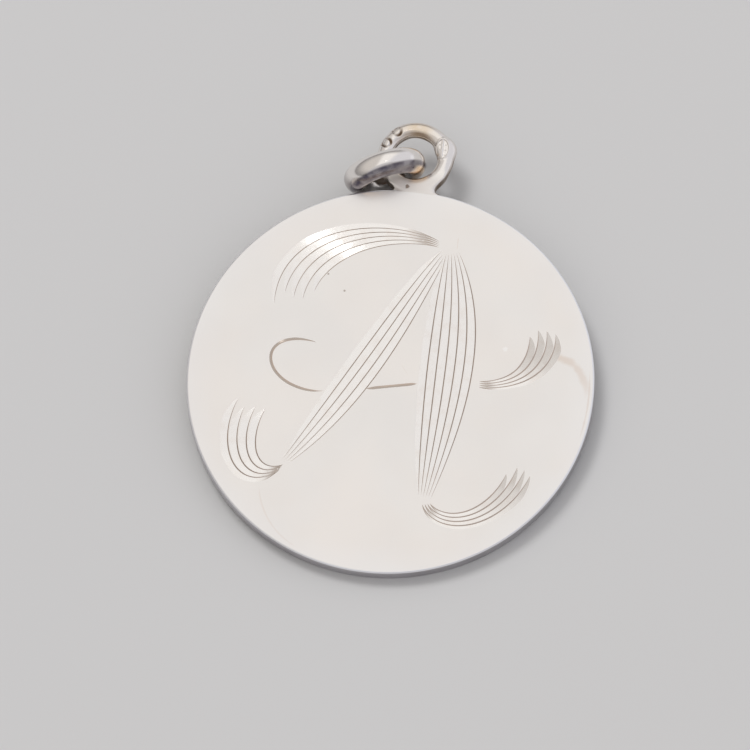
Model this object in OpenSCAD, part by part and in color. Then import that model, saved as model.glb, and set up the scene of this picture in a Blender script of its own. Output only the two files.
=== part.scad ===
// Round silver pendant with an engraved script initial, a soldered loop and a heavy jump ring.
// It lies face up: the bottom of the rim rests on the surface and the jump ring props up the top.

/* [Disc] */
// Diameter of the disc
disc_d = 25; // [20:0.5:32]
// Thickness of the disc
disc_h = 1.0; // [0.9:0.05:1.4]
// Radius that rounds both edges of the rim
edge_r = 0.12; // [0.05:0.01:0.2]

/* [Loop] */
// Diameter of the loop's round wire
loop_wire = 0.96; // [0.8:0.02:1.1]
// Inner diameter of the loop
loop_hole = 2.72; // [2.6:0.05:3.4]
// How far the loop is let into the rim
loop_sink = 0.06; // [0.02:0.01:0.2]
// Width of the solder that fills the corners beside the loop
solder_w = 2.3; // [1.8:0.05:2.6]

/* [Punch marks on the loop] */
// Diameter of each ring-shaped punch mark, on the middle of its groove
mark_d = 0.44; // [0.3:0.02:0.5]
// Width of the groove of a punch mark
mark_w = 0.16; // [0.1:0.02:0.2]
// Diameter of the swelling where the wire is punched flat
swell_d = 1.3; // [1.2:0.02:1.5]
// Thickness that the flat punch leaves
swell_h = 0.84; // [0.7:0.02:0.9]

/* [Jump ring] */
// Diameter of the jump ring's round wire
ring_wire = 1.6; // [1.2:0.05:1.7]
// Inner diameter of the jump ring
ring_hole = 2.0; // [1.9:0.05:2.6]
// Smallest gap between the jump ring and what it meets
link_gap = 0.08; // [0.05:0.01:0.12]
// Lean of the jump ring from upright
ring_lean = 5; // [0:1:10]

/* [Engraving] */
// Depth of the engraved lines
cut_depth = 0.06; // [0.03:0.005:0.1]
// Width of a heavy line in its middle
heavy_w = 0.3; // [0.2:0.01:0.32]
// Width of a hairline in its middle
fine_w = 0.16; // [0.1:0.01:0.24]
// Size of the letter, as a share of the disc
letter_size = 0.76; // [0.7:0.01:0.84]

/* [Hidden] */
disc_r = disc_d / 2;
loop_r = (loop_hole + loop_wire) / 2;
loop_y = disc_r + loop_r + loop_wire / 2 - loop_sink;
ring_r = (ring_hole + ring_wire) / 2;
ring_tube = ring_wire / 2;
silver = [0.86, 0.84, 0.82];

// Place of the jump ring on the loop, before it slides clear of the rim
ring_first = 222;
// Turn of the jump ring from square across the wire
ring_yaw = -12;
// The wire lies low in the ring's hole: direction of the ring's middle above the outward line
ring_rise = 60;
ring_play = ring_hole / 2 - loop_wire / 2 - link_gap;

function unit(v) = v / norm(v);
function along(a) = [cos(a), sin(a), 0];
function ring_normal(a) = let (yaw = a + 90 + ring_yaw)
    [cos(ring_lean) * cos(yaw), cos(ring_lean) * sin(yaw), -sin(ring_lean)];
function ring_middle(a) = [0, loop_y, 0] + loop_r * along(a)
    + ring_play * (cos(ring_rise) * along(a) + [0, 0, sin(ring_rise)]);
// Distance from a point to the disc, taken with sharp edges
function off_disc(p) = norm([max(norm([p.x, p.y]) - disc_r, 0), max(abs(p.z) - disc_h / 2, 0)]);
function ring_point(a, s) = let (n = ring_normal(a), u = unit(cross(n, [0, 0, 1])), v = cross(u, n))
    ring_middle(a) + ring_r * (cos(s) * u + sin(s) * v);
function ring_room(a) = min([for (s = [0:5:355]) off_disc(ring_point(a, s))]) - ring_tube;
// The ring slides up the loop in small steps until it clears the rim
function slide(a) = ring_room(a) >= link_gap || a < 150 ? a : slide(a - 0.5);
ring_at = slide(ring_first);
ring_c = ring_middle(ring_at);
ring_n = ring_normal(ring_at);

// How the pendant lies: p points from the middle to the prop, up_of is the surface's upward direction
function up_of(t, p) = [sin(t) * p.x, sin(t) * p.y, cos(t)];
function hang(up) = unit(up - (up * ring_n) * ring_n);
function prop(up) = ring_c - ring_r * hang(up) - ring_tube * up;
function flat_dir(v) = unit([v.x, v.y, 0]);
function lift(t, p) = asin((ring_r * norm(up_of(t, p) - (up_of(t, p) * ring_n) * ring_n) + ring_tube - edge_r
    - cos(t) * (ring_c.z + disc_h / 2 - edge_r)) / (ring_c * p + disc_r - edge_r));
function settle(t, p, n) = n == 0 ? [t, p]
    : let (q = flat_dir(prop(up_of(t, p)))) settle(lift(t, q), q, n - 1);
lie = settle(4, flat_dir(ring_c), 12);
lie_tilt = lie[0];
lie_dir = lie[1];
lie_up = [-sin(lie_tilt) * lie_dir.x, -sin(lie_tilt) * lie_dir.y, cos(lie_tilt)];
lie_z = (disc_r - edge_r) * sin(lie_tilt) + (disc_h / 2 - edge_r) * cos(lie_tilt) + edge_r;
// The turned pendant's reach along Y, which sets its middle
turn_axis = [lie_dir.y, -lie_dir.x, 0];
function turned(v) = v * cos(lie_tilt) + cross(turn_axis, v) * sin(lie_tilt)
    + turn_axis * (turn_axis * v) * (1 - cos(lie_tilt));
y_low = -(disc_r - edge_r) * norm([lie_up.x, lie_up.z]) - (disc_h / 2 - edge_r) * abs(lie_up.y) - edge_r;
y_high = turned([0, loop_y, 0]).y + loop_r * norm([lie_up.x, lie_up.z]) + loop_wire / 2;
lie_y = -(y_low + y_high) / 2;

module lying() {
    translate([0, lie_y, lie_z]) rotate(a = lie_tilt, v = turn_axis) children();
}

// Rounded bar section of the rim, with short flats for the rounding
function corner(x, y, a) = [for (s = [0:30:90]) [x + edge_r * cos(a + s), y + edge_r * sin(a + s)]];
module blank() {
    x = disc_r - edge_r;
    y = disc_h / 2 - edge_r;
    rotate_extrude($fn = 200)
        polygon(concat([[0, -disc_h / 2]], corner(x, -y, -90), corner(x, y, 0), [[0, disc_h / 2]]));
}

module wire_ring(r, wire) {
    rotate_extrude($fn = 96) translate([r, 0]) circle(d = wire, $fn = 48);
}

// Solder in the corners between the loop and the rim, flush with the face and a little short of the back
solder_short = 0.04;
module solder() {
    top = loop_y - sqrt(pow(loop_r, 2) - pow(solder_w / 2, 2));
    foot = disc_r - 4 * edge_r;
    translate([-solder_w / 2, foot, -disc_h / 2 + solder_short])
        cube([solder_w, top - foot, disc_h - solder_short]);
}

// A ring-shaped punch mark on the wire, leaning outwards with the wire's side
mark_at = [130, 155];
swell_at = 24;
mark_lean = 18;
module punch(a) {
    rotate([0, 0, a]) translate([loop_r, 0, 0]) rotate([0, mark_lean, 0])
        translate([0, 0, loop_wire / 2]) rotate_extrude($fn = 32)
            translate([mark_d / 2, 0]) circle(d = mark_w, $fn = 16);
}

module swelling() {
    rotate([0, 0, swell_at]) translate([loop_r, 0, 0]) intersection() {
        sphere(d = swell_d, $fn = 48);
        cube([2 * swell_d, 2 * swell_d, swell_h], center = true);
    }
}

module loop() {
    translate([0, loop_y, 0]) {
        difference() {
            wire_ring(loop_r, loop_wire);
            for (a = mark_at) punch(a);
        }
        swelling();
    }
}

// Point at share f of the cubic curve with the points in v, eight numbers: x and y of each
function on_curve(v, f) = pow(1 - f, 3) * [v[0], v[1]] + 3 * f * pow(1 - f, 2) * [v[2], v[3]]
    + 3 * pow(f, 2) * (1 - f) * [v[4], v[5]] + pow(f, 3) * [v[6], v[7]];
// A line swells from its start over the share head, and narrows to its end over the share tail
function swell(f, head, tail) = sin(90 * min(f / head, 1)) * sin(90 * min((1 - f) / tail, 1));
function line_side(v, f, half, head, tail) = let (way = on_curve(v, f + 0.01) - on_curve(v, f - 0.01))
    on_curve(v, f) + half * swell(f, head, tail) * unit([-way.y, way.x]);
line_steps = 14;
module line(v, width, head, tail) {
    side = [1:line_steps - 1];
    polygon(concat([on_curve(v, 0)], [for (i = side) line_side(v, i / line_steps, width / 2, head, tail)],
        [on_curve(v, 1)], [for (i = side) line_side(v, 1 - i / line_steps, -width / 2, head, tail)]));
}

// The letter's strokes, as shares of its reach. Each is a bundle of lines between a first and a last
// one: [points of the first line, points of the last line, lines, width share, head, tail]
reach = letter_size * disc_r;
strokes = [
    // thick right stem
    [[0.27, 0.90, 0.20, 0.42, 0.20, -0.22, 0.26, -0.76],
        [0.35, 0.92, 0.60, 0.44, 0.52, -0.14, 0.34, -0.78], 6, 1, 0.45, 0.45],
    // thin left stem
    [[0.24, 0.92, -0.02, 0.58, -0.34, -0.06, -0.64, -0.60],
        [0.27, 0.86, 0.10, 0.44, -0.16, -0.22, -0.60, -0.62], 4, 0.87, 0.5, 0.5],
    // flag from the top to the left
    [[-0.80, 0.46, -0.84, 1.02, -0.16, 1.14, 0.22, 0.98],
        [-0.56, 0.52, -0.52, 0.86, -0.10, 1.00, 0.22, 0.94], 5, 0.9, 0.35, 0.8],
    // curl under the left stem
    [[-0.96, -0.20, -1.12, -0.56, -0.90, -0.88, -0.65, -0.67],
        [-0.78, -0.26, -0.90, -0.50, -0.80, -0.72, -0.63, -0.63], 4, 0.8, 0.4, 0.8],
    // way out under the right stem
    [[0.29, -0.82, 0.40, -1.06, 0.86, -0.98, 0.98, -0.50],
        [0.34, -0.81, 0.46, -0.94, 0.74, -0.86, 0.82, -0.52], 4, 0.8, 0.8, 0.4],
    // leaf at the right end of the crossbar
    [[0.57, 0.01, 0.80, 0.00, 1.10, 0.12, 1.02, 0.46],
        [0.57, 0.05, 0.76, 0.06, 0.90, 0.16, 0.86, 0.42], 4, 0.8, 0.8, 0.4]
];
// Hairlines: [points, head, tail]
hairlines = [
    [[-0.50, 0.22, -0.96, 0.30, -0.82, -0.18, -0.38, -0.10], 0.5, 0.3],
    [[-0.11, -0.06, 0.00, -0.04, 0.08, -0.02, 0.185, 0.00], 0.2, 0.2]
];

module letter() {
    translate([0, 0, disc_h / 2 - cut_depth]) linear_extrude(2 * cut_depth) {
        for (s = strokes, i = [0:s[2] - 1])
            line(reach * (s[0] + (s[1] - s[0]) * i / (s[2] - 1)), s[3] * heavy_w, s[4], s[5]);
        for (h = hairlines)
            line(reach * h[0], fine_w, h[1], h[2]);
    }
}

module pendant_disc() {
    color(silver) lying() {
        difference() {
            union() {
                blank();
                solder();
                loop();
            }
            letter();
        }
    }
}

module jump_ring() {
    color(silver) lying() translate(ring_c)
        rotate([0, 90 + ring_lean, atan2(ring_n.y, ring_n.x)]) wire_ring(ring_r, ring_wire);
}

pendant_disc();
jump_ring();
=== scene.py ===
# Looks of the engraved silver disc pendant, with its soldered loop and heavy jump ring.
# Shapes are worked out in the pendant's own frame in millimetres: x right, y towards the loop, z out of
# the face. laid() then turns them as the pendant lies and makes them metres.
import math

import bpy
import numpy as np
from mathutils import Matrix, Vector
from mathutils.geometry import delaunay_2d_cdt


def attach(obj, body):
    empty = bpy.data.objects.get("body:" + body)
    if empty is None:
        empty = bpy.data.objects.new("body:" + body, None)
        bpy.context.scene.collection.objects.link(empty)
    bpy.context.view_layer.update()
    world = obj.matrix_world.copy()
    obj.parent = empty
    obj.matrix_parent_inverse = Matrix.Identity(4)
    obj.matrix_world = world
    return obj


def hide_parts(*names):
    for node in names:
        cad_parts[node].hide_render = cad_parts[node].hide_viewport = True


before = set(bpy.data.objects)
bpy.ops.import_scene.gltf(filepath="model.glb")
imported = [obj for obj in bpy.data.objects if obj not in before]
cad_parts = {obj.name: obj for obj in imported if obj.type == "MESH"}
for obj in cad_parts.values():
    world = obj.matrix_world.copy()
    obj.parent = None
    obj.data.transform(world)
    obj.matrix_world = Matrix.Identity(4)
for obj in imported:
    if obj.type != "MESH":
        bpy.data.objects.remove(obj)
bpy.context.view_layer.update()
print("frame loaded")

# How the pendant lies: the foot of the rim and the jump ring rest on the floor
lie = {
    "tilt": 3.73351,  # degrees that the face leans towards its foot
    "axis": (0.991531, 0.129869, 0.0),  # line that it turns about
    "middle": (0.0, -2.27333, 1.30533),  # middle of the disc, mm
}


# p cos t + (k x p) sin t + k (k . p)(1 - cos t), for the tilt t about the axis k
def turned(points):
    p = np.atleast_2d(np.asarray(points, float))
    k = np.array(lie["axis"])
    t = math.radians(lie["tilt"])
    along = (p @ k)[:, None] * k
    return p * math.cos(t) + np.cross(k, p) * math.sin(t) + along * (1 - math.cos(t))


# Turned, moved to where the pendant lies, and put in metres
def laid(points):
    return (turned(points) + np.array(lie["middle"])) * 0.001


# 0 below the first edge, 1 above the second, and 3 f^2 - 2 f^3 between
def smoothStep(first, second, x):
    f = np.clip((x - first) / (second - first), 0, 1)
    return f * f * (3 - 2 * f)


# 0 before start and after end, 1 from full to last
def within(x, start, full, last, end):
    return smoothStep(start, full, x) * smoothStep(end, last, x)


# min(a, b) with a fillet where both are within k: min(a, b) - (k - |a - b|)^2 / 4k
def softMin(a, b, k):
    h = np.maximum(k - np.abs(a - b), 0)
    return np.minimum(a, b) - h * h / (4 * k)


def softMax(a, b, k):
    return -softMin(-a, -b, k)


# Points and faces become a piece on the root body, with its flat coordinates in mm as a UV map
def makePiece(name, points, faces, flat, materials, nodeName):
    mesh = bpy.data.meshes.new(name)
    mesh.from_pydata(laid(points).tolist(), [], faces)
    mesh.polygons.foreach_set("use_smooth", np.ones(len(mesh.polygons), bool))
    corners = np.empty(len(mesh.loops), int)
    mesh.loops.foreach_get("vertex_index", corners)
    uvMap = mesh.uv_layers.new(name="flat")
    uvMap.data.foreach_set("uv", np.asarray(flat, float)[corners].ravel())
    for material in materials:
        mesh.materials.append(material)
    piece = bpy.data.objects.new(name, mesh)
    bpy.context.scene.collection.objects.link(piece)
    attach(piece, "root")
    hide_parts(nodeName)
    print(f"{name}: {len(mesh.vertices)} points, {len(mesh.polygons)} faces")
    return piece


# One number for each point of a piece, for its material to read
def pointValue(piece, name, values):
    layer = piece.data.attributes.new(name, "FLOAT", "POINT")
    layer.data.foreach_set("value", np.asarray(values, float))


# Shared effects: a node group is given its inputs as (name, kind, value) and its outputs as (name, kind)
def newGroup(name, inputs, outputs):
    group = bpy.data.node_groups.new(name, "ShaderNodeTree")
    for label, kind, value in inputs:
        socket = group.interface.new_socket(name=label, in_out="INPUT", socket_type=kind)
        if value is not None:
            socket.default_value = value
    for label, kind in outputs:
        group.interface.new_socket(name=label, in_out="OUTPUT", socket_type=kind)
    first = group.nodes.new("NodeGroupInput")
    last = group.nodes.new("NodeGroupOutput")
    return group, first.outputs, last.inputs


# A new node with its values set by socket name or number, and its links made where a value is a socket
def addNode(tree, kind, settings=None, **inputs):
    node = tree.nodes.new(kind)
    for key, value in (settings or {}).items():
        setattr(node, key, value)
    for key, value in inputs.items():
        place = int(key[1:]) if key[0] == "i" and key[1:].isdigit() else key.replace("_", " ")
        if isinstance(value, bpy.types.NodeSocket):
            tree.links.new(value, node.inputs[place])
        else:
            node.inputs[place].default_value = value
    return node


def maths(tree, operation, *values):
    given = {f"i{n}": value for n, value in enumerate(values)}
    return addNode(tree, "ShaderNodeMath", {"operation": operation}, **given).outputs[0]


# smoothStep() for a shader
def ramped(tree, value, first, second):
    node = addNode(
        tree, "ShaderNodeMapRange", {"interpolation_type": "SMOOTHSTEP"}, Value=value, From_Min=first,
        From_Max=second,
    )
    return node.outputs[0]


def mixed(tree, share, colourA, colourB):
    node = addNode(tree, "ShaderNodeMix", {"data_type": "RGBA"}, i0=share, i6=colourA, i7=colourB)
    return node.outputs[2]


# The second colour over the first where the mask is, at the given strength
def stained(tree, mask, strength, colour, stain):
    return mixed(tree, maths(tree, "MULTIPLY", mask, strength), colour, stain)


# A mask made cloudy: mask (least + change clouds)
def clouded(tree, mask, clouds, change, least):
    return maths(tree, "MULTIPLY", mask, maths(tree, "MULTIPLY_ADD", clouds, change, least))


# A value made ragged: value + amount (noise - 0.5)
def ragged(tree, place, scale, detail, value, amount):
    noise = addNode(tree, "ShaderNodeTexNoise", Vector=place, Scale=scale, Detail=detail).outputs[0]
    return maths(tree, "ADD", value, maths(tree, "MULTIPLY", maths(tree, "SUBTRACT", noise, 0.5), amount))


# What pointValue() gave the piece under this name
def pointMask(tree, name):
    return addNode(tree, "ShaderNodeAttribute", {"attribute_name": name}).outputs["Fac"]


# Thin straight scratches that all run one way
def makeScratchGroup():
    group, given, out = newGroup(
        "one way scratches",
        [("Place", "NodeSocketVector", None), ("Angle", "NodeSocketFloat", 0.0),
         ("Length", "NodeSocketFloat", 4.0), ("Spacing", "NodeSocketFloat", 0.12),
         ("Rarity", "NodeSocketFloat", 0.66)],
        [("Mask", "NodeSocketFloat")],
    )
    turn = addNode(
        group, "ShaderNodeVectorRotate", {"rotation_type": "Z_AXIS"}, Vector=given["Place"],
        Angle=given["Angle"],
    ).outputs[0]
    parts = addNode(group, "ShaderNodeSeparateXYZ", Vector=turn).outputs
    along = maths(group, "DIVIDE", parts[0], given["Length"])
    across = maths(group, "DIVIDE", parts[1], given["Spacing"])
    place = addNode(group, "ShaderNodeCombineXYZ", X=along, Y=across, Z=0.37).outputs[0]
    noise = addNode(group, "ShaderNodeTexNoise", Vector=place, Scale=1.0, Detail=1.0, Roughness=0.5)
    full = maths(group, "ADD", given["Rarity"], 0.09)
    mask = addNode(
        group, "ShaderNodeMapRange", Value=noise.outputs[0], From_Min=given["Rarity"], From_Max=full,
    ).outputs[0]
    group.links.new(mask, out["Mask"])
    return group


# Cloudy patches
def makeCloudGroup():
    group, given, out = newGroup(
        "cloudy patches",
        [("Place", "NodeSocketVector", None), ("Size", "NodeSocketFloat", 2.0),
         ("Low", "NodeSocketFloat", 0.35), ("High", "NodeSocketFloat", 0.65)],
        [("Mask", "NodeSocketFloat")],
    )
    scale = maths(group, "DIVIDE", 1.0, given["Size"])
    noise = addNode(group, "ShaderNodeTexNoise", Vector=given["Place"], Scale=scale, Detail=3.0)
    group.links.new(ramped(group, noise.outputs[0], given["Low"], given["High"]), out["Mask"])
    return group


# A small round spot with a ragged edge, full to about half of its radius and gone just outside it
def makeSpotGroup():
    group, given, out = newGroup(
        "spot",
        [("Place", "NodeSocketVector", None), ("Middle", "NodeSocketVector", None),
         ("Radius", "NodeSocketFloat", 0.08)],
        [("Mask", "NodeSocketFloat")],
    )
    away = addNode(
        group, "ShaderNodeVectorMath", {"operation": "DISTANCE"}, i0=given["Place"], i1=given["Middle"],
    ).outputs["Value"]
    share = ragged(group, given["Place"], 9.0, 2.0, maths(group, "DIVIDE", away, given["Radius"]), 0.9)
    group.links.new(ramped(group, share, 1.15, 0.55), out["Mask"])
    return group


# A stain along part of a circle, narrower at its ends. Facing points to its middle and Spread is how far it
# runs.
def makeArcGroup():
    group, given, out = newGroup(
        "arc stain",
        [("Place", "NodeSocketVector", None), ("Middle", "NodeSocketVector", None),
         ("Radius", "NodeSocketFloat", 2.0), ("Width", "NodeSocketFloat", 0.3),
         ("Facing", "NodeSocketVector", None), ("Spread", "NodeSocketFloat", 0.5)],
        [("Mask", "NodeSocketFloat")],
    )
    offset = addNode(
        group, "ShaderNodeVectorMath", {"operation": "SUBTRACT"}, i0=given["Place"], i1=given["Middle"],
    ).outputs[0]
    length = addNode(group, "ShaderNodeVectorMath", {"operation": "LENGTH"}, i0=offset).outputs["Value"]
    away = maths(group, "ABSOLUTE", maths(group, "SUBTRACT", length, given["Radius"]))
    unitOffset = addNode(group, "ShaderNodeVectorMath", {"operation": "NORMALIZE"}, i0=offset).outputs[0]
    facing = addNode(
        group, "ShaderNodeVectorMath", {"operation": "DOT_PRODUCT"}, i0=unitOffset, i1=given["Facing"],
    ).outputs["Value"]
    start = maths(group, "SUBTRACT", 1.0, given["Spread"])
    full = maths(group, "SUBTRACT", 1.0, maths(group, "MULTIPLY", given["Spread"], 0.25))
    part = ramped(group, facing, start, full)
    narrowed = maths(group, "MULTIPLY_ADD", part, 0.7, 0.3)
    away = maths(group, "DIVIDE", away, maths(group, "MULTIPLY", given["Width"], narrowed))
    band = ramped(group, ragged(group, given["Place"], 1.6, 3.0, away, 1.1), 1.0, 0.1)
    group.links.new(maths(group, "MULTIPLY", band, part), out["Mask"])
    return group


scratchGroup = makeScratchGroup()
cloudGroup = makeCloudGroup()
spotGroup = makeSpotGroup()
arcGroup = makeArcGroup()


def useGroup(tree, group, **inputs):
    return addNode(tree, "ShaderNodeGroup", {"node_tree": group}, **inputs).outputs[0]


# Metals
metal = {
    "silver": (0.93, 0.893, 0.862, 1.0),
    "cool": (0.915, 0.892, 0.872, 1.0),  # patches of the face
    "pale": (0.99, 0.98, 0.97, 1.0),  # the face's pale spot
    "tan": (0.74, 0.60, 0.50, 1.0),  # thin tarnish
    "brown": (0.20, 0.125, 0.07, 1.0),  # thick tarnish
    "cut": (0.95, 0.925, 0.90, 1.0),  # broad sides of the engraved lines
    "wall": (0.62, 0.52, 0.45, 1.0),  # their steep sides
    "tip": (0.36, 0.29, 0.24, 1.0),  # where the lines of a stroke meet, and the hairlines
    "edge": (0.95, 0.955, 0.98, 1.0),  # painted bluish-white highlight on the rounded edges of the rim
    # painted dark reflection on the rim's wall
    "paintedDarkRimWall": (0.50, 0.48, 0.50, 1.0),
    "loopGold": (0.80, 0.66, 0.50, 1.0),  # top of the loop
    # painted golden reflection and copper highlight on the ring
    "ringPaintedGold": (0.93, 0.70, 0.47, 1.0),
    "ringPaintedDark": (0.27, 0.235, 0.24, 1.0),  # painted dark reflection on the ring's lower side
    "ringPaintedDarkest": (0.115, 0.103, 0.14, 1.0),  # darkest band of that painted reflection
    "faceRough": 0.32,
    "cutRough": 0.13,
    "wallRough": 0.42,
    "solderRough": 0.45,
    "loopRough": 0.20,
    "ringRough": 0.15,
}


def newMetal(name, colour, roughness):
    material = bpy.data.materials.new(name)
    material.use_nodes = True
    material.diffuse_color = colour
    tree = material.node_tree
    surface = tree.nodes["Principled BSDF"]
    surface.inputs["Base Color"].default_value = colour
    surface.inputs["Metallic"].default_value = 1.0
    surface.inputs["Roughness"].default_value = roughness
    return material, tree, surface.inputs


def flatPlace(tree):
    return addNode(tree, "ShaderNodeUVMap", {"uv_map": "flat"}).outputs[0]


# Small marks, by their places in mm
faceMarks = {
    # x, y, radius
    "pits": [(-3.4, 5.6, 0.075), (-4.5, 6.6, 0.07), (2.9, 3.55, 0.085), (3.0, 1.2, 0.05)],
    "solderPit": (-0.26, 12.72, 0.15),
    "paleSpot": (6.8, 2.7, 0.17),
    # angle, length, spacing, rarity
    "scratches": [(0.5, 7.0, 0.09, 0.68), (1.9, 5.0, 0.11, 0.70), (2.9, 4.0, 0.13, 0.72)],
    # middle, radius, half width, direction that it faces, spread, strength
    "arcs": [
        ((9.7, 0.2), 2.3, 0.36, (0.54, 0.84), 0.62, 0.46),  # tarnish streak
        ((0, 0), 12.2, 0.09, (0.9990, -0.044), 0.020, 0.46),  # its tail along the rim
        ((-2.5, -6.9), 4.85, 0.09, (-0.804, -0.595), 0.152, 0.22),  # faint old curve
        ((33.2, 9.3), 30, 0.035, (-1, 0), 0.00010, 0.4),  # short scratch
        ((25.1, 18.4), 30, 0.035, (-0.81, -0.586), 0.00045, 0.3),  # a longer one
    ],
}


def useSpot(tree, place, mark):
    x, y, radius = mark
    return useGroup(tree, spotGroup, Place=place, Middle=(x, y, 0), Radius=radius)


def makeFaceMetal():
    material, tree, sockets = newMetal("satin silver", metal["silver"], metal["faceRough"])
    place = flatPlace(tree)
    drift = useGroup(tree, cloudGroup, Place=place, Size=7.0, Low=0.35, High=0.65)
    colour = mixed(tree, drift, metal["silver"], metal["cool"])
    for (x, y), radius, width, facing, spread, strength in faceMarks["arcs"]:
        stain = useGroup(
            tree, arcGroup, Place=place, Middle=(x, y, 0), Radius=radius, Width=width,
            Facing=(*facing, 0), Spread=spread,
        )
        colour = stained(tree, stain, strength, colour, metal["tan"])
    pale = useSpot(tree, place, faceMarks["paleSpot"])
    colour = stained(tree, pale, 0.85, colour, metal["pale"])
    for mark in faceMarks["pits"]:
        colour = stained(tree, useSpot(tree, place, mark), 0.55, colour, metal["brown"])
    clouds = useGroup(tree, cloudGroup, Place=place, Size=5.0, Low=0.3, High=0.7)
    scratches = 0.0
    for angle, length, spacing, rarity in faceMarks["scratches"]:
        scratch = useGroup(
            tree, scratchGroup, Place=place, Angle=angle, Length=length, Spacing=spacing, Rarity=rarity,
        )
        scratches = maths(tree, "MAXIMUM", scratches, scratch)
    rough = maths(tree, "MULTIPLY_ADD", clouds, 0.05, metal["faceRough"] - 0.02)
    # painted highlight makes the rounded edges bright, and painted dark reflection makes the rim's wall
    # darker
    darker = clouded(tree, pointMask(tree, "paintedDarkRimWall"), clouds, 0.2, 0.8)
    bright = mixed(tree, pointMask(tree, "edge"), colour, metal["edge"])
    colour = mixed(tree, darker, bright, metal["paintedDarkRimWall"])
    tree.links.new(colour, sockets["Base Color"])
    tree.links.new(rough, sockets["Roughness"])
    bump = addNode(tree, "ShaderNodeBump", {"invert": True}, Height=scratches, Strength=0.12, Distance=2e-6)
    tree.links.new(bump.outputs[0], sockets["Normal"])
    return material


def makeCutMetal():
    material, tree, sockets = newMetal("bright cut silver", metal["cut"], metal["cutRough"])
    place = flatPlace(tree)
    chatter = addNode(tree, "ShaderNodeTexNoise", Vector=place, Scale=3.5, Detail=3.0).outputs[0]
    bump = addNode(tree, "ShaderNodeBump", Height=chatter, Strength=0.25, Distance=6e-6)
    tree.links.new(bump.outputs[0], sockets["Normal"])
    clouds = useGroup(tree, cloudGroup, Place=place, Size=0.7, Low=0.45, High=0.7)
    colour = stained(tree, clouds, 0.14, metal["cut"], metal["tan"])
    colour = stained(tree, pointMask(tree, "tip"), 0.8, colour, metal["tip"])
    tree.links.new(colour, sockets["Base Color"])
    return material


def makeWallMetal():
    material, tree, sockets = newMetal("dull cut wall", metal["wall"], metal["wallRough"])
    place = flatPlace(tree)
    clouds = useGroup(tree, cloudGroup, Place=place, Size=0.9, Low=0.35, High=0.7)
    colour = stained(tree, clouds, 0.5, metal["wall"], metal["tan"])
    tree.links.new(colour, sockets["Base Color"])
    return material


def makeLoopMetal():
    material, tree, sockets = newMetal("loop silver", metal["silver"], metal["loopRough"])
    place = flatPlace(tree)
    clouds = useGroup(tree, cloudGroup, Place=place, Size=0.8, Low=0.3, High=0.65)
    # side: tarnish brown laid as painted shade where the loop faces away from up
    browned = clouded(tree, pointMask(tree, "side"), clouds, 0.3, 0.68)
    warmed = clouded(tree, pointMask(tree, "warm"), clouds, 0.4, 0.5)
    colour = mixed(tree, warmed, metal["silver"], metal["loopGold"])
    colour = mixed(tree, browned, colour, metal["brown"])
    dark = maths(tree, "MINIMUM", maths(tree, "MULTIPLY", pointMask(tree, "dent"), 1.25), 0.92)
    colour = mixed(tree, dark, colour, metal["brown"])
    pit = useSpot(tree, place, faceMarks["solderPit"])
    colour = stained(tree, pit, 0.75, colour, metal["brown"])
    tree.links.new(colour, sockets["Base Color"])
    rough = maths(tree, "MULTIPLY_ADD", browned, 0.25, metal["loopRough"])
    satin = pointMask(tree, "satin")
    rough = maths(tree, "MULTIPLY_ADD", satin, metal["solderRough"] - metal["loopRough"], rough)
    tree.links.new(rough, sockets["Roughness"])
    bumps = addNode(tree, "ShaderNodeTexNoise", Vector=place, Scale=2.2, Detail=3.0).outputs[0]
    calm = maths(tree, "SUBTRACT", 1.0, satin)
    bump = addNode(
        tree, "ShaderNodeBump", Height=maths(tree, "MULTIPLY", bumps, calm), Strength=0.35, Distance=1.5e-5,
    )
    tree.links.new(bump.outputs[0], sockets["Normal"])
    return material


def makeRingMetal():
    material, tree, sockets = newMetal("polished ring silver", metal["silver"], metal["ringRough"])
    place = flatPlace(tree)
    clouds = useGroup(tree, cloudGroup, Place=place, Size=0.5, Low=0.35, High=0.65)
    # painted dark reflection on the ring's lower side and left end, darkest in a band, and a painted golden
    # reflection with a copper highlight
    darkestShare = clouded(tree, pointMask(tree, "deep"), clouds, 0.35, 0.65)
    darkReflectionColour = mixed(tree, darkestShare, metal["ringPaintedDark"], metal["ringPaintedDarkest"])
    darkReflectionShare = clouded(tree, pointMask(tree, "under"), clouds, 0.25, 0.75)
    colour = mixed(tree, darkReflectionShare, metal["silver"], darkReflectionColour)
    paintedGoldShare = clouded(tree, pointMask(tree, "paintedGold"), clouds, 0.4, 0.6)
    colour = mixed(tree, paintedGoldShare, colour, metal["ringPaintedGold"])
    tree.links.new(colour, sockets["Base Color"])
    fine = useGroup(tree, scratchGroup, Place=place, Angle=0.15, Length=2.5, Spacing=0.06, Rarity=0.64)
    rough = maths(tree, "MULTIPLY_ADD", fine, 0.10, metal["ringRough"])
    tree.links.new(rough, sockets["Roughness"])
    return material


faceMetal = makeFaceMetal()
cutMetal = makeCutMetal()
wallMetal = makeWallMetal()
loopMetal = makeLoopMetal()
ringMetal = makeRingMetal()
print("metals made")

# Disc and its engraved letter
disc = {
    "radius": 12.5,
    "half": 0.5,  # half of its thickness
    "edge": 0.12,  # rounding of both edges
    "around": 480,  # points round the rim
    "roundSteps": 6,  # steps of an edge's rounding
    "backSteps": 8,  # steps from the back's edge to its middle
    "grid": 1.5,  # spacing of the face's own points
    "gridRoom": 0.8,  # how far they stay from the rim
    # distances from the middle where the painted edge highlight and the painted dark wall reflection start
    # and are full, and the heights from the disc's middle plane where the wall starts and is full
    "paintedHighlightFrom": (12.37, 12.40),
    "wallFrom": (12.47, 12.495),
    "wallUpTo": (0.44, 0.40),
}

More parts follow.
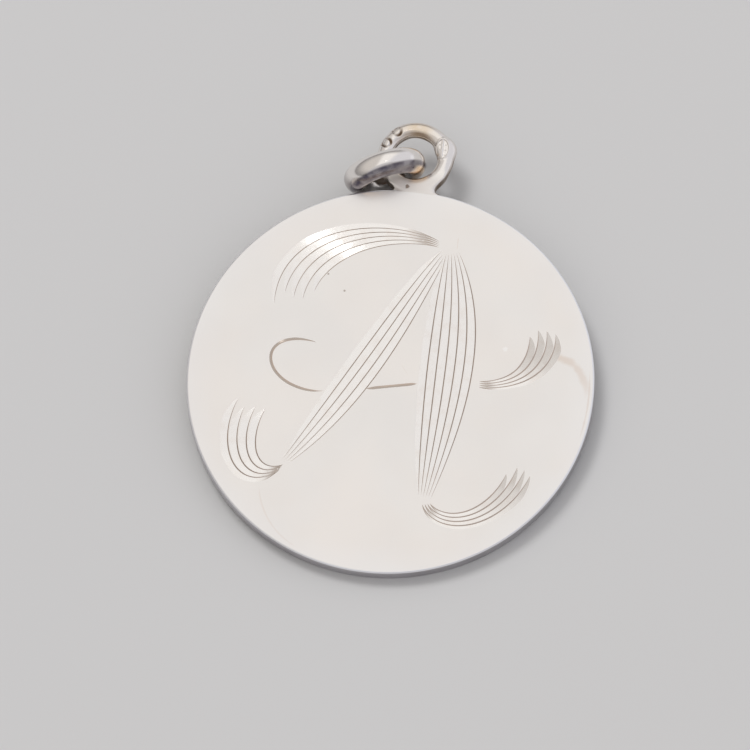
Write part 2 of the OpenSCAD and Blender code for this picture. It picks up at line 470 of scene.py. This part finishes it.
# Each stroke is a bundle of lines: points of its first line, points of its last, how many lines, share of
# the heavy width, taper at the head and at the tail, and the side of the line that its steep wall stands on
letter = {
    "reach": 9.5,  # mm for 1.0 in the points
    "heavy": 0.3,  # width of a heavy line in the solid, mm
    "fine": 0.16,
    "fineRoom": 0.19,  # width that a hairline's two sides take
    "steps": 56,
    "slope": 9.0,  # degrees that the broad facet goes down
    "wall": 0.075,  # width of the steep side in plan
    "fill": 0.94,  # share of the room between two lines that the broad facet takes
    "widest": 0.46,  # mm
    "least": 0.8,  # least width of the broad facet, as a share of the solid's
    "blunt": 0.12,  # share of its length over which the broad facet's width rises from its end
    "uneven": 0.05,  # how much the facet's width wavers
    "stagger": [0.0, 0.045, 0.015],  # how far in a line's broad end starts, as a share of its length
    "tipFrom": (0.80, 0.96),  # where the darker narrow end of a stroke starts and is full
    "hairTo": (1.0, 0.94),  # where a dark hairline ends and is full
    "strokes": [
        ([(0.27, 0.90), (0.20, 0.42), (0.20, -0.22), (0.26, -0.76)],
         [(0.35, 0.92), (0.60, 0.44), (0.52, -0.14), (0.34, -0.78)], 6, 1.0, 0.45, 0.45, 1),
        ([(0.24, 0.92), (-0.02, 0.58), (-0.34, -0.06), (-0.64, -0.60)],
         [(0.27, 0.86), (0.10, 0.44), (-0.16, -0.22), (-0.60, -0.62)], 4, 0.87, 0.5, 0.5, 1),
        ([(-0.80, 0.46), (-0.84, 1.02), (-0.16, 1.14), (0.22, 0.98)],
         [(-0.56, 0.52), (-0.52, 0.86), (-0.10, 1.00), (0.22, 0.94)], 5, 0.9, 0.35, 0.8, -1),
        ([(-0.96, -0.20), (-1.12, -0.56), (-0.90, -0.88), (-0.65, -0.67)],
         [(-0.78, -0.26), (-0.90, -0.50), (-0.80, -0.72), (-0.63, -0.63)], 4, 0.8, 0.4, 0.8, 1),
        ([(0.29, -0.82), (0.40, -1.06), (0.86, -0.98), (0.98, -0.50)],
         [(0.34, -0.81), (0.46, -0.94), (0.74, -0.86), (0.82, -0.52)], 4, 0.8, 0.8, 0.4, 1),
        ([(0.57, 0.01), (0.80, 0.00), (1.10, 0.12), (1.02, 0.46)],
         [(0.57, 0.05), (0.76, 0.06), (0.90, 0.16), (0.86, 0.42)], 4, 0.8, 0.8, 0.4, 1),
    ],
    # points, taper at the head and at the tail, side of the steep wall, and where on its curve the line ends
    "hairlines": [
        ([(-0.50, 0.22), (-0.96, 0.30), (-0.82, -0.18), (-0.38, -0.10)], 0.5, 0.2, 1, 0.97),
        ([(-0.15, -0.064), (-0.02, -0.04), (0.08, -0.02), (0.185, 0.00)], 0.2, 0.12, 1, 0.955),
    ],
}


# (1-f)^3 a + 3f(1-f)^2 b + 3f^2(1-f) c + f^3 d for the four points a, b, c, d
def onCurve(points, f):
    a, b, c, d = np.asarray(points, float)
    f = f[:, None]
    g = 1 - f
    return g**3 * a + 3 * f * g**2 * b + 3 * f**2 * g * c + f**3 * d


# sin(90 f / head) sin(90 (1 - f) / tail), each factor 1 away from its end
def swell(f, head, tail):
    quarter = math.pi / 2
    return np.sin(quarter * np.minimum(f / head, 1)) * np.sin(quarter * np.minimum((1 - f) / tail, 1))


# One engraved line as three rows of points: the broad facet's outer edge, the valley and the wall's top.
# The valley's depth is the facet's width times the tangent of its slope. The line runs over the part of its
# curve from start to end, and its number makes it a little uneven.
def groove(points, roomWidth, cadWidth, head, tail, side, start, end, number=0):
    f = np.linspace(0, 1, letter["steps"] + 1)
    middle = onCurve(points, start + (end - start) * f) * letter["reach"]
    way = np.gradient(middle, axis=0)
    normal = np.stack([-way[:, 1], way[:, 0]], 1)
    normal = side * normal / np.linalg.norm(normal, axis=1)[:, None]
    tapered = swell(f, head, tail)
    ends = np.minimum(1, np.minimum(f, 1 - f) / letter["blunt"]) ** 0.8
    wall = letter["wall"] * np.sqrt(tapered)
    facet = np.minimum(letter["fill"] * np.maximum(roomWidth - wall, 0), letter["widest"]) * ends
    facet = np.maximum(facet, (cadWidth - letter["wall"]) * letter["least"] * tapered)
    waver = np.sin(9 * f + 1.7 * number) * np.sin(23 * f + 2.9 * number)
    facet = facet * (1 - letter["uneven"] * (1 + waver))
    top = middle + normal * (cadWidth / 2 * tapered)[:, None]
    valley = top - normal * wall[:, None]
    outer = valley - normal * facet[:, None]
    depth = facet * math.tan(math.radians(letter["slope"]))
    return outer, valley, top, depth


# 1 at the end of a stroke where its lines meet, which has the longer taper
def narrowEnd(f, head, tail):
    if head == tail:
        return np.zeros(len(f))
    return smoothStep(*letter["tipFrom"], f if head < tail else 1 - f)


# Every engraved line, with how dark its points are
def allGrooves():
    made = []
    f = np.linspace(0, 1, letter["steps"] + 1)
    for first, last, count, share, head, tail, side in letter["strokes"]:
        first, last = np.array(first), np.array(last)
        spread = np.linalg.norm(onCurve(last, f) - onCurve(first, f), axis=1) * letter["reach"]
        room = spread / (count - 1)
        for i in range(count):
            line = first + (last - first) * i / (count - 1)
            start = letter["stagger"][i % 3] if head < tail else 0.0
            end = 1 - letter["stagger"][(i + 1) % 3] if tail < head else 1.0
            width = share * letter["heavy"]
            rows = groove(line, room, width, head, tail, side, start, end, len(made))
            made.append((*rows, narrowEnd(f, head, tail)))
    room = np.full(letter["steps"] + 1, letter["fineRoom"])
    for points, head, tail, side, end in letter["hairlines"]:
        rows = groove(points, room, letter["fine"], head, tail, side, 0.0, end)
        made.append((*rows, smoothStep(*letter["hairTo"], f)))
    return made


# Depth of one groove at each point, and on which side of it the point is: each side is a row of triangles,
# and the depth in a triangle is the sum of its corners' depths times the point's barycentric shares
def grooveDepth(cut, points):
    outer, valley, top, depth, _ = cut
    zero = np.zeros(len(depth))
    deepest = np.zeros(len(points))
    part = np.zeros(len(points), int)
    rows = np.concatenate([outer, valley, top])
    near = np.all((points > rows.min(0) - 0.01) & (points < rows.max(0) + 0.01), axis=1)
    spots = points[near]
    found = np.zeros(len(spots))
    where = np.zeros(len(spots), int)
    for kind, rowA, deepA, rowB, deepB in ((1, outer, zero, valley, depth), (2, valley, depth, top, zero)):
        for a, b, c, da, db, dc in (
            (rowA[:-1], rowB[:-1], rowB[1:], deepA[:-1], deepB[:-1], deepB[1:]),
            (rowA[:-1], rowB[1:], rowA[1:], deepA[:-1], deepB[1:], deepA[1:]),
        ):
            ab, ac = b - a, c - a
            area = ab[:, 0] * ac[:, 1] - ab[:, 1] * ac[:, 0]
            area = np.where(np.abs(area) < 1e-12, 1e-12, area)
            d = spots[:, None, :] - a[None]
            u = (d[..., 0] * ac[:, 1] - d[..., 1] * ac[:, 0]) / area
            v = (ab[:, 0] * d[..., 1] - ab[:, 1] * d[..., 0]) / area
            inside = (u > -1e-6) & (v > -1e-6) & (u + v < 1 + 1e-6)
            deep = np.where(inside, da * (1 - u - v) + db * u + dc * v, 0)
            pick = deep.argmax(1)
            value = deep[np.arange(len(spots)), pick]
            better = value > found + 1e-7
            found = np.where(better, value, found)
            where = np.where(better, kind, where)
    deepest[near] = found
    part[near] = where
    return deepest, part


# The flat face triangulated round the engraved lines: its points with the depth of the deepest line at each
# and how dark it is, and its triangles with their line (0 where it is flat) and the side of it
def engravedFace(flatRadius):
    n = disc["around"]
    turnAngle = np.arange(n) * 2 * math.pi / n
    given = [flatRadius * np.stack([np.cos(turnAngle), np.sin(turnAngle)], 1)]
    edges = [(i, (i + 1) % n) for i in range(n)]
    count = n
    grooves = allGrooves()
    dark = [np.zeros(n)]
    for outer, valley, top, _, darkness in grooves:
        for row in (outer, valley, top):
            given.append(row)
            dark.append(darkness)
            edges += [(count + i, count + i + 1) for i in range(len(row) - 1)]
            count += len(row)
    reach = math.floor(disc["radius"] / disc["grid"])
    step = disc["grid"] * np.arange(-reach, reach + 1)
    spread = np.stack(np.meshgrid(step, step), -1).reshape(-1, 2)
    given.append(spread[np.hypot(spread[:, 0], spread[:, 1]) < flatRadius - disc["gridRoom"]])
    dark.append(np.zeros(len(given[-1])))
    given = np.concatenate(given)
    dark = np.concatenate(dark)
    # the last value asks for the given points that each of its points was made from
    result = delaunay_2d_cdt([Vector(p) for p in given.tolist()], edges, [], 0, 1e-6, True)
    plan = np.array([tuple(v) for v in result[0]])
    triangles = np.array([list(f) for f in result[2]])
    tip = np.array([max([dark[i] for i in made], default=0) for made in result[3]])
    depth = np.zeros(len(plan))
    middles = plan[triangles].mean(1)
    deepest = np.zeros(len(middles))
    owner = np.zeros(len(middles), int)
    kind = np.zeros(len(middles), int)
    for number, cut in enumerate(grooves):
        value, _ = grooveDepth(cut, plan)
        depth = np.maximum(depth, value)
        value, part = grooveDepth(cut, middles)
        better = value > deepest
        deepest = np.where(better, value, deepest)
        owner = np.where(better, number + 1, owner)
        kind = np.where(better, part, kind)
    # all triangles run the same way round as seen from above
    a, b, c = plan[triangles[:, 0]], plan[triangles[:, 1]], plan[triangles[:, 2]]
    area = (b[:, 0] - a[:, 0]) * (c[:, 1] - a[:, 1]) - (b[:, 1] - a[:, 1]) * (c[:, 0] - a[:, 0])
    triangles[area < 0] = triangles[area < 0][:, ::-1]
    return plan, depth, tip, triangles, owner, kind


# An edge is sharp where the faces beside it have different keys
def sharpen(mesh, keys):
    loopEdge = np.empty(len(mesh.loops), int)
    mesh.loops.foreach_get("edge_index", loopEdge)
    sides = np.empty(len(mesh.polygons), int)
    mesh.polygons.foreach_get("loop_total", sides)
    loopKey = np.repeat(keys, sides)
    least = np.full(len(mesh.edges), 10**6)
    most = -least
    np.minimum.at(least, loopEdge, loopKey)
    np.maximum.at(most, loopEdge, loopKey)
    mesh.edges.foreach_set("use_edge_sharp", least != most)


# The disc: its engraved face, and the rim and back as rings of points (r, z) carried round
def makeDisc():
    flatRadius = disc["radius"] - disc["edge"]
    plan, depth, tip, triangles, owner, kind = engravedFace(flatRadius)
    points = np.column_stack([plan, disc["half"] - depth])
    border = np.where(np.hypot(plan[:, 0], plan[:, 1]) > flatRadius - 1e-4)[0]
    border = border[np.argsort(np.arctan2(plan[border, 1], plan[border, 0]))]
    angle = np.arctan2(plan[border, 1], plan[border, 0])
    bend = np.linspace(0, math.pi / 2, disc["roundSteps"] + 1)
    low = disc["half"] - disc["edge"]
    upper = np.column_stack([flatRadius + disc["edge"] * np.sin(bend), low + disc["edge"] * np.cos(bend)])
    lower = upper[::-1] * (1, -1)
    backRadii = np.linspace(flatRadius, 0, disc["backSteps"] + 1)[1:-1]
    back = np.column_stack([backRadii, np.full(len(backRadii), -disc["half"])])
    profile = np.concatenate([upper[1:], lower, back])
    rings = np.stack(
        [profile[:, 0, None] * np.cos(angle), profile[:, 0, None] * np.sin(angle),
         np.repeat(profile[:, 1, None], len(angle), 1)], -1,
    )
    start = len(points)
    around = len(angle)
    points = np.concatenate([points, rings.reshape(-1, 3), [[0, 0, -disc["half"]]]])
    index = np.concatenate([[border], start + np.arange(len(profile) * around).reshape(-1, around)])
    after = np.roll(index, -1, axis=1)
    quads = np.stack([index[:-1], index[1:], after[1:], after[:-1]], -1).reshape(-1, 4)
    middle = len(points) - 1
    fan = np.stack([index[-1], np.full(around, middle), after[-1]], -1)
    faces = triangles.tolist() + quads.tolist() + fan.tolist()
    piece = makePiece(
        "engraved_disc", points, faces, points[:, :2], [faceMetal, cutMetal, wallMetal],
        "pendant_disc",
    )
    pointValue(piece, "tip", np.concatenate([tip, np.zeros(len(points) - len(tip))]))
    rho, up = np.hypot(points[:, 0], points[:, 1]), np.abs(points[:, 2])
    # painted highlight on the rounded edges and painted dark reflection on the rim's wall
    pointValue(piece, "edge", smoothStep(*disc["paintedHighlightFrom"], rho))
    wallShare = smoothStep(*disc["wallFrom"], rho) * smoothStep(*disc["wallUpTo"], up)
    pointValue(piece, "paintedDarkRimWall", wallShare)
    slots = np.concatenate([kind, np.zeros(len(quads) + len(fan), int)])
    piece.data.polygons.foreach_set("material_index", slots.astype(np.int32))
    # sharp round each side of each line and, with -1 for the rim and -2 for the back, where those meet
    backFrom = (len(upper) - 1 + len(lower) - 1) * around
    rimOrBack = np.where(np.arange(len(quads) + len(fan)) < backFrom, -1, -2)
    sharpen(piece.data, np.concatenate([owner * 3 + kind, rimOrBack]))


makeDisc()

# Loop, with the solder that joins it to the rim
loop = {
    "ring": 1.84,  # radius of the middle of its wire
    "wire": 0.48,  # radius of its wire
    "y": 14.76,  # its middle
    "cell": 0.026,  # size of a grid cell
    "low": (-2.75, 11.95, -0.56),  # corners of the grid
    "high": (2.95, 17.2, 0.56),
    "startsAt": 12.08,  # the piece starts this far from the disc's middle, under its face
    "uneven": (0.008, 0.005),  # long and short waves along the wire
    "thickAt": 20,  # degrees from +x round the loop where the wire is thickest
    "thickSpread": 30,
    "solderLeft": 0.50,  # how far the solder fills the left corner
    "solderRight": 0.95,
    "solderLow": 0.46,  # how far it goes down
    "solderRound": 0.16,  # rounding of its edges
    "solderLift": 0.001,  # how far its top lies above the face
    "solderDip": 0.03,  # how far it dips where it goes under the face
    "dipFrom": (12.37, 12.29),  # where that starts and is full, from the disc's middle
    "solderUpTo": {"left": (0.62, 1.0), "right": (0.95, 1.5)},  # radians from straight down, where it fades
    # punch marks: degrees from +x round the loop, how far out, radius, degrees that their deep sides face
    "marks": [(130, 1.97, 0.26, -35), (158, 1.97, 0.27, 30)],
    "markDeep": 0.12,
    "markWide": 0.07,
    # the swelling: degrees round the loop, how far outside the wire's middle, half sizes, fillet
    "swellAt": 22,
    "swellOut": 0.12,
    "swellHalf": (0.66, 0.76, 0.46),
    "swellFillet": 0.22,
    # its oval punch: middle, from the loop's middle, half sizes, height of its floor
    "oval": (1.63, 0.64),
    "ovalHalf": (0.35, 0.60),
    "ovalFloor": 0.41,
    "topAt": 88,  # middle of the stained top, with its painted highlight line, degrees round the loop
    "topSpread": 34,
    # stains, painted shade and a painted highlight, from where each starts to where it is full, by distance
    # from the loop's middle where no note says otherwise
    "tarnishAndShadeSide": (0.72, 0.05),  # by how far the surface faces upwards: tarnish brown laid as painted shade on sides facing away from up
    "outerTop": (1.95, 2.15),  # less brown
    "brownLine": (1.64, 1.55),  # inside the top
    "paintedHighlightLine": (1.42, 0.045),  # below it, a painted highlight: its middle and how wide it is
    "warm": (2.45, 2.0),
    "satin": (14.0, 13.2),  # by distance from the disc's middle
}


# exp(-((x - middle) / spread)^2)
def bell(x, middle, spread):
    return np.exp(-(((x - middle) / spread) ** 2))


# A ring-shaped dent, a bell of the distance about the mark's radius, deeper on two opposite sides
def markDent(mark, dx, dy):
    degrees, at, radius, facing = mark
    m = math.radians(degrees)
    px, py = dx - at * math.cos(m), dy - at * math.sin(m)
    deep = 0.25 + 0.75 * np.cos(np.arctan2(py, px) - math.radians(facing)) ** 2
    return deep * bell(np.hypot(px, py), radius, loop["markWide"])


# Smooth union of the wire, the solder plate and the swelling, with the punch marks taken out. The plate is
# the plan outline softMin(wire's outer circle, rim), about as thick as the disc. It fades into the round
# wire beside the corners.
def loopField(x, y, z):
    ring, wire = loop["ring"], loop["wire"]
    dx, dy = x, y - loop["y"]
    out = np.hypot(dx, dy)
    side = np.arctan2(dx, -dy)
    swing = np.arctan2(dy, dx)
    long, short = loop["uneven"]
    uneven = long * np.sin(3 * swing + 0.7) * np.sin(2.3 * swing) + short * np.sin(7 * swing + 2)
    thick = bell(np.degrees(swing), loop["thickAt"], loop["thickSpread"])
    torus = np.hypot((out - ring - 0.06 * thick) / (1 + 0.12 * thick), z) - wire + 0.006 + uneven
    rho = np.hypot(x, y)
    corner = loop["solderLeft"] + (loop["solderRight"] - loop["solderLeft"]) * smoothStep(-0.3, 0.3, side)
    outline = softMin(out - ring - wire, rho - disc["radius"] + 0.02, corner)
    top = disc["half"] + loop["solderLift"] - loop["solderDip"] * smoothStep(*loop["dipFrom"], rho)
    slab = np.maximum(z - top, -z - loop["solderLow"])
    plate = softMax(outline, slab, loop["solderRound"])
    inner = np.hypot(out - ring, z * wire / disc["half"]) - wire
    plate = np.where(out > ring, plate, inner)
    fade = loop["solderUpTo"]
    faded = np.where(side > 0, smoothStep(*fade["right"], side), smoothStep(*fade["left"], -side))
    field = torus + (plate - torus) * (1 - faded)
    # the swelling is an ellipsoid k0 (k0 - 1) / k1, k0 and k1 being |p / half| and |p / half^2|
    a = math.radians(loop["swellAt"])
    px = dx * math.cos(a) + dy * math.sin(a) - ring - loop["swellOut"]
    py = -dx * math.sin(a) + dy * math.cos(a)
    halfX, halfY, halfZ = loop["swellHalf"]
    k0 = np.sqrt((px / halfX) ** 2 + (py / halfY) ** 2 + (z / halfZ) ** 2) + 1e-9
    k1 = np.sqrt((px / halfX**2) ** 2 + (py / halfY**2) ** 2 + (z / halfZ**2) ** 2) + 1e-9
    field = softMin(field, k0 * (k0 - 1) / k1, loop["swellFillet"])
    # its oval punch has a raised lip, and a ridge and small bumps on its floor
    ox, oy = dx - loop["oval"][0], dy - loop["oval"][1]
    oval = (np.hypot(ox / loop["ovalHalf"][0], oy / loop["ovalHalf"][1]) - 1) * 0.40
    floor = loop["ovalFloor"] + 0.035 * bell(ox, -0.02, 0.06) + 0.012 * np.sin(19 * oy) * np.sin(16 * ox)
    field = field - 0.025 * bell(oval, 0.055, 0.045) * smoothStep(0.1, 0.3, z)
    field = softMax(field, -np.maximum(oval, floor - z), 0.04)
    for mark in loop["marks"]:
        field = field + loop["markDeep"] * markDent(mark, dx, dy) * smoothStep(0.0, 0.15, z)
    return np.maximum(field, loop["startsAt"] - rho)


# Slope of a field by central differences
def slopeOf(field, p, e):
    steps = np.eye(3) * e
    parts = [field(*(p + s).T) - field(*(p - s).T) for s in steps]
    return np.stack(parts, 1) / (2 * e)


# Surface where a field is zero. Each grid cell that it crosses gets a point, moved onto the surface by
# Newton steps p - v g / |g|^2, and each grid edge that it crosses gets a face of the four cells round it.
def surfaceOf(field, low, high, cell):
    low = np.asarray(low, float)
    n = np.ceil((np.asarray(high) - low) / cell).astype(int) + 1
    axes = [low[i] + cell * np.arange(n[i]) for i in range(3)]
    inside = field(*np.meshgrid(*axes, indexing="ij")) < 0
    total = np.zeros(n - 1, int)
    for i in (0, 1):
        for j in (0, 1):
            for k in (0, 1):
                total += inside[i:n[0] - 1 + i, j:n[1] - 1 + j, k:n[2] - 1 + k]
    crossed = (total > 0) & (total < 8)
    index = np.full(crossed.shape, -1)
    index[crossed] = np.arange(crossed.sum())
    home = low + (np.argwhere(crossed) + 0.5) * cell
    faces = []
    for axis in range(3):
        b, c = (axis + 1) % 3, (axis + 2) % 3
        lower = np.take(inside, np.arange(n[axis] - 1), axis)
        upper = np.take(inside, np.arange(1, n[axis]), axis)
        at = np.argwhere(lower != upper)
        at = at[(at[:, b] > 0) & (at[:, c] > 0) & (at[:, b] < n[b] - 1) & (at[:, c] < n[c] - 1)]
        quad = []
        for db, dc in ((-1, -1), (0, -1), (0, 0), (-1, 0)):
            beside = at.copy()
            beside[:, b] += db
            beside[:, c] += dc
            quad.append(index[tuple(beside.T)])
        quad = np.stack(quad, 1)
        flip = ~lower[tuple(at.T)]
        quad[flip] = quad[flip][:, ::-1]
        faces.append(quad)
    points = home.copy()
    for _ in range(5):
        value = field(*points.T)
        g = slopeOf(field, points, cell * 0.1)
        move = g * (value / np.maximum((g * g).sum(1), 1e-6))[:, None]
        points = points - np.clip(move, -cell, cell)
        points = home + np.clip(points - home, -0.9 * cell, 0.9 * cell)
    g = slopeOf(field, points, cell * 0.1)
    return points, np.concatenate(faces), g / np.linalg.norm(g, axis=1)[:, None]


def makeLoop():
    points, faces, normals = surfaceOf(loopField, loop["low"], loop["high"], loop["cell"])
    piece = makePiece(
        "soldered_loop", points, faces.tolist(), points[:, :2], [loopMetal], "pendant_disc",
    )
    piece.data.normals_split_custom_set_from_vertices(turned(normals).tolist())
    x, y, z = points.T
    dx, dy = x, y - loop["y"]
    dent = np.zeros(len(points))
    for mark in loop["marks"]:
        dent = np.maximum(dent, markDent(mark, dx, dy) * smoothStep(0, 0.2, z))
    pointValue(piece, "dent", dent)
    rho, out = np.hypot(x, y), np.hypot(dx, dy)
    top = bell(np.degrees(np.arctan2(dy, dx)), loop["topAt"], loop["topSpread"])
    outerTop = smoothStep(*loop["outerTop"], out) * smoothStep(-0.2, 0.6, dy)
    # tarnish brown as painted shade on surfaces facing away from up, less on the outer top, and a painted
    # highlight line inside the top
    side = smoothStep(*loop["tarnishAndShadeSide"], normals[:, 2]) * (1 - 0.65 * outerTop)
    line = 0.75 * top * smoothStep(*loop["brownLine"], out)
    paintedHighlight = top * bell(out, *loop["paintedHighlightLine"])
    pointValue(piece, "side", np.maximum(side, line) * (1 - 0.9 * paintedHighlight))
    pointValue(piece, "warm", top * smoothStep(*loop["warm"], out))
    pointValue(piece, "satin", smoothStep(*loop["satin"], rho) * smoothStep(0.6, 0.9, normals[:, 2]))


makeLoop()

# Jump ring
jumpRing = {
    "middle": (-1.7178, 13.623, 0.381),
    "normal": (0.365107, -0.926877, -0.0871557),
    "ring": 1.8,  # radius of the middle of its wire
    "wire": 0.8,  # radius of its wire
    "around": 256,
    "across": 96,
    "uneven": 0.004,  # share of its wire
    # Painted reflections and a painted highlight, each from its start and where it is full to where it is
    # last full and ends. Front is how far the surface faces towards frontWay, along is degrees round the
    # ring and across degrees round its wire.
    "frontWay": (0.5, -0.866, 0),
    "lowerFront": (0.42, 0.60),
    "lowerAcross": (130, 105),
    "darkestFront": (0.44, 0.54, 0.74, 0.92),
    "darkestLess": (85, 115),  # degrees round the ring from where it is less deep
    "leftUp": (0.5, 0.1),  # how far the left end's side with painted dark reflection faces upwards
    "leftAlong": (300, 330, 405, 440),
    "paintedGoldAlong": (135, 150, 195, 215),
    "paintedGoldAcross": (35, 55, 100, 120),
    "copperHighlightAlong": (12, 25, 60, 80),
    "copperHighlightAcross": (85, 96, 108, 125),
}


# Torus: middle + (R + r cos t)(u cos s + v sin s) + n r sin t, with r a little uneven and never above r
def makeJumpRing():
    normal = np.array(jumpRing["normal"])
    normal /= np.linalg.norm(normal)
    u = np.cross(normal, (0, 0, 1))
    u /= np.linalg.norm(u)
    v = np.cross(u, normal)
    s, t = np.meshgrid(
        np.arange(jumpRing["around"]) * 2 * math.pi / jumpRing["around"],
        np.arange(jumpRing["across"]) * 2 * math.pi / jumpRing["across"], indexing="ij",
    )
    wire = jumpRing["wire"] * (1 - jumpRing["uneven"] * (1 + np.sin(2 * s + 1) * np.sin(3 * t)))
    away = np.cos(s)[..., None] * u + np.sin(s)[..., None] * v
    radial = (jumpRing["ring"] + wire * np.cos(t))[..., None] * away
    points = np.array(jumpRing["middle"]) + radial + (wire * np.sin(t))[..., None] * normal
    outward = away * np.cos(t)[..., None] + np.sin(t)[..., None] * normal
    index = np.arange(s.size).reshape(s.shape)
    nextS = np.roll(index, -1, 0)
    nextT = np.roll(index, -1, 1)
    both = np.roll(nextS, -1, 1)
    faces = np.stack([index, nextT, both, nextS], -1).reshape(-1, 4)
    flat = np.column_stack([s.ravel() * jumpRing["ring"], t.ravel() * jumpRing["wire"]])
    piece = makePiece(
        "jump_ring_polished", points.reshape(-1, 3), faces.tolist(), flat, [ringMetal],
        "jump_ring",
    )
    facing = turned(outward.reshape(-1, 3)).reshape(*s.shape, 3)
    front = facing @ jumpRing["frontWay"]
    along, across = np.degrees(s), np.degrees(t)
    pastStart = np.where(along < 180, along + 360, along)
    # painted dark reflection below and at the left end, darkest in a band; painted golden reflection in a
    # patch and a copper highlight along the lower side
    lower = smoothStep(*jumpRing["lowerFront"], front) * smoothStep(*jumpRing["lowerAcross"], across)
    left = within(pastStart, *jumpRing["leftAlong"]) * smoothStep(*jumpRing["leftUp"], facing[..., 2])
    deep = within(front, *jumpRing["darkestFront"]) * (1 - 0.4 * smoothStep(*jumpRing["darkestLess"], along))
    goldReflectionPatch = within(along, *jumpRing["paintedGoldAlong"]) * within(across, *jumpRing["paintedGoldAcross"])
    copperHighlight = within(along, *jumpRing["copperHighlightAlong"]) * within(across, *jumpRing["copperHighlightAcross"])
    paintedGold = np.maximum(goldReflectionPatch, 0.75 * copperHighlight)
    pointValue(piece, "deep", deep.ravel())
    pointValue(piece, "paintedGold", paintedGold.ravel())
    pointValue(piece, "under", (np.maximum(lower, 0.8 * left) * (1 - paintedGold)).ravel())


makeJumpRing()

# Floor, light and camera
studio = {
    "floorSize": 3.0,
    "floorColour": (0.64, 0.64, 0.64, 1.0),
    "floorRough": 0.8,
    "floorShine": 0.2,
    "tentColour": (0.91, 0.893, 0.875, 1.0),  # white tent overhead
    # its other parts: where each starts, where it is full, and its colour. Left and right go by the x of a
    # direction, low by its z and the gap in front by the cosine of its angle from gapTowards.
    "left": (-0.16, -0.36, (0.62, 0.59, 0.565, 1.0)),
    "low": (0.68, 0.0, (0.26, 0.25, 0.25, 1.0)),
    "right": (0.14, 0.45, (0.69, 0.69, 0.725, 1.0)),
    "gap": (0.66, 0.78, (0.55, 0.54, 0.555, 1.0)),
    "gapTowards": (0.30, -0.82, 0.46),
}

# Area lights: direction, distance in metres, width and height, brightness, colour and if metal mirrors it
lights = {
    "flash": ((0.10, 0.01, 0.995), 0.98, 0.045, 0.045, 2.0, (1.0, 1.0, 1.0), True),
    "edge": ((0.92, 0.40, 0.11), 1.1, 0.6, 0.22, 0.12, (0.92, 0.94, 1.0), True),
    "floorFill": ((-0.35, 0.42, 0.84), 1.5, 0.5, 0.5, 9.0, (1.0, 1.0, 1.0), False),
}


def makeFloor():
    half = studio["floorSize"] / 2
    corners = [(-half, -half, 0), (half, -half, 0), (half, half, 0), (-half, half, 0)]
    mesh = bpy.data.meshes.new("floor")
    mesh.from_pydata(corners, [], [(0, 1, 2, 3)])
    material = bpy.data.materials.new("pale floor")
    material.use_nodes = True
    surface = material.node_tree.nodes["Principled BSDF"].inputs
    surface["Base Color"].default_value = studio["floorColour"]
    surface["Roughness"].default_value = studio["floorRough"]
    surface["Specular IOR Level"].default_value = studio["floorShine"]
    mesh.materials.append(material)
    floor = bpy.data.objects.new("floor", mesh)
    bpy.context.scene.collection.objects.link(floor)


# An area light facing the object. Its power is brightness x pi x area.
def addLight(name, direction, distance, width, height, brightness, colour, mirrored):
    data = bpy.data.lights.new(name, "AREA")
    data.shape = "RECTANGLE"
    data.size = width
    data.size_y = height
    data.energy = brightness * math.pi * width * height
    data.color = colour
    light = bpy.data.objects.new(name, data)
    back = Vector(direction).normalized()
    light.location = back * distance
    light.rotation_mode = "QUATERNION"
    light.rotation_quaternion = back.to_track_quat("Z", "Y")
    light.visible_camera = False
    light.visible_glossy = mirrored
    bpy.context.scene.collection.objects.link(light)


makeFloor()
for lightName, values in lights.items():
    addLight(lightName, *values)


# A white tent overhead, dimmer at the sides and near the floor, with a dim gap in front
def makeWorld():
    world = bpy.data.worlds.new("studio tent")
    world.use_nodes = True
    tree = world.node_tree
    towards = Vector(studio["gapTowards"]).normalized()
    direction = addNode(tree, "ShaderNodeTexCoord").outputs["Generated"]
    parts = addNode(tree, "ShaderNodeSeparateXYZ", Vector=direction).outputs
    facing = addNode(
        tree, "ShaderNodeVectorMath", {"operation": "DOT_PRODUCT"}, i0=direction, i1=tuple(towards),
    ).outputs["Value"]
    colour = studio["tentColour"]
    for part, value in (("left", parts[0]), ("low", parts[2]), ("right", parts[0]), ("gap", facing)):
        start, full, partColour = studio[part]
        colour = mixed(tree, ramped(tree, value, start, full), colour, partColour)
    tree.links.new(colour, tree.nodes["Background"].inputs["Color"])
    bpy.context.scene.world = world


makeWorld()
bpy.context.scene.view_settings.view_transform = "Standard"

# The camera stands where the photograph was taken from
view = {
    "aim": (-0.000973, -0.002007, 0.00184),  # point in the middle of the picture
    "azimuth": 10.32,  # degrees to the right of straight in front
    "elevation": 66.25,
    "roll": 4.73,
    "distance": 2.0,  # metres
    "nearest": 0.1,  # metres, from where things show
    "lens": 1568.4,  # mm
    "sensor": 36.0,
}


def makeCamera():
    data = bpy.data.cameras.new("camera")
    data.lens = view["lens"]
    data.sensor_width = view["sensor"]
    data.clip_start = view["nearest"]
    camera = bpy.data.objects.new("camera", data)
    azimuth, elevation = math.radians(view["azimuth"]), math.radians(view["elevation"])
    flatPart = math.cos(elevation)
    back = Vector((math.sin(azimuth) * flatPart, -math.cos(azimuth) * flatPart, math.sin(elevation)))
    right = Vector((0, 0, 1)).cross(back).normalized()
    up = back.cross(right)
    roll = math.radians(view["roll"])
    rightTurned = right * math.cos(roll) - up * math.sin(roll)
    upTurned = right * math.sin(roll) + up * math.cos(roll)
    rows = [(rightTurned[i], upTurned[i], back[i]) for i in range(3)]
    camera.rotation_mode = "QUATERNION"
    camera.rotation_quaternion = Matrix(rows).to_quaternion()
    camera.location = Vector(view["aim"]) + back * view["distance"]
    bpy.context.scene.collection.objects.link(camera)
    bpy.context.scene.camera = camera


makeCamera()
print("studio made")
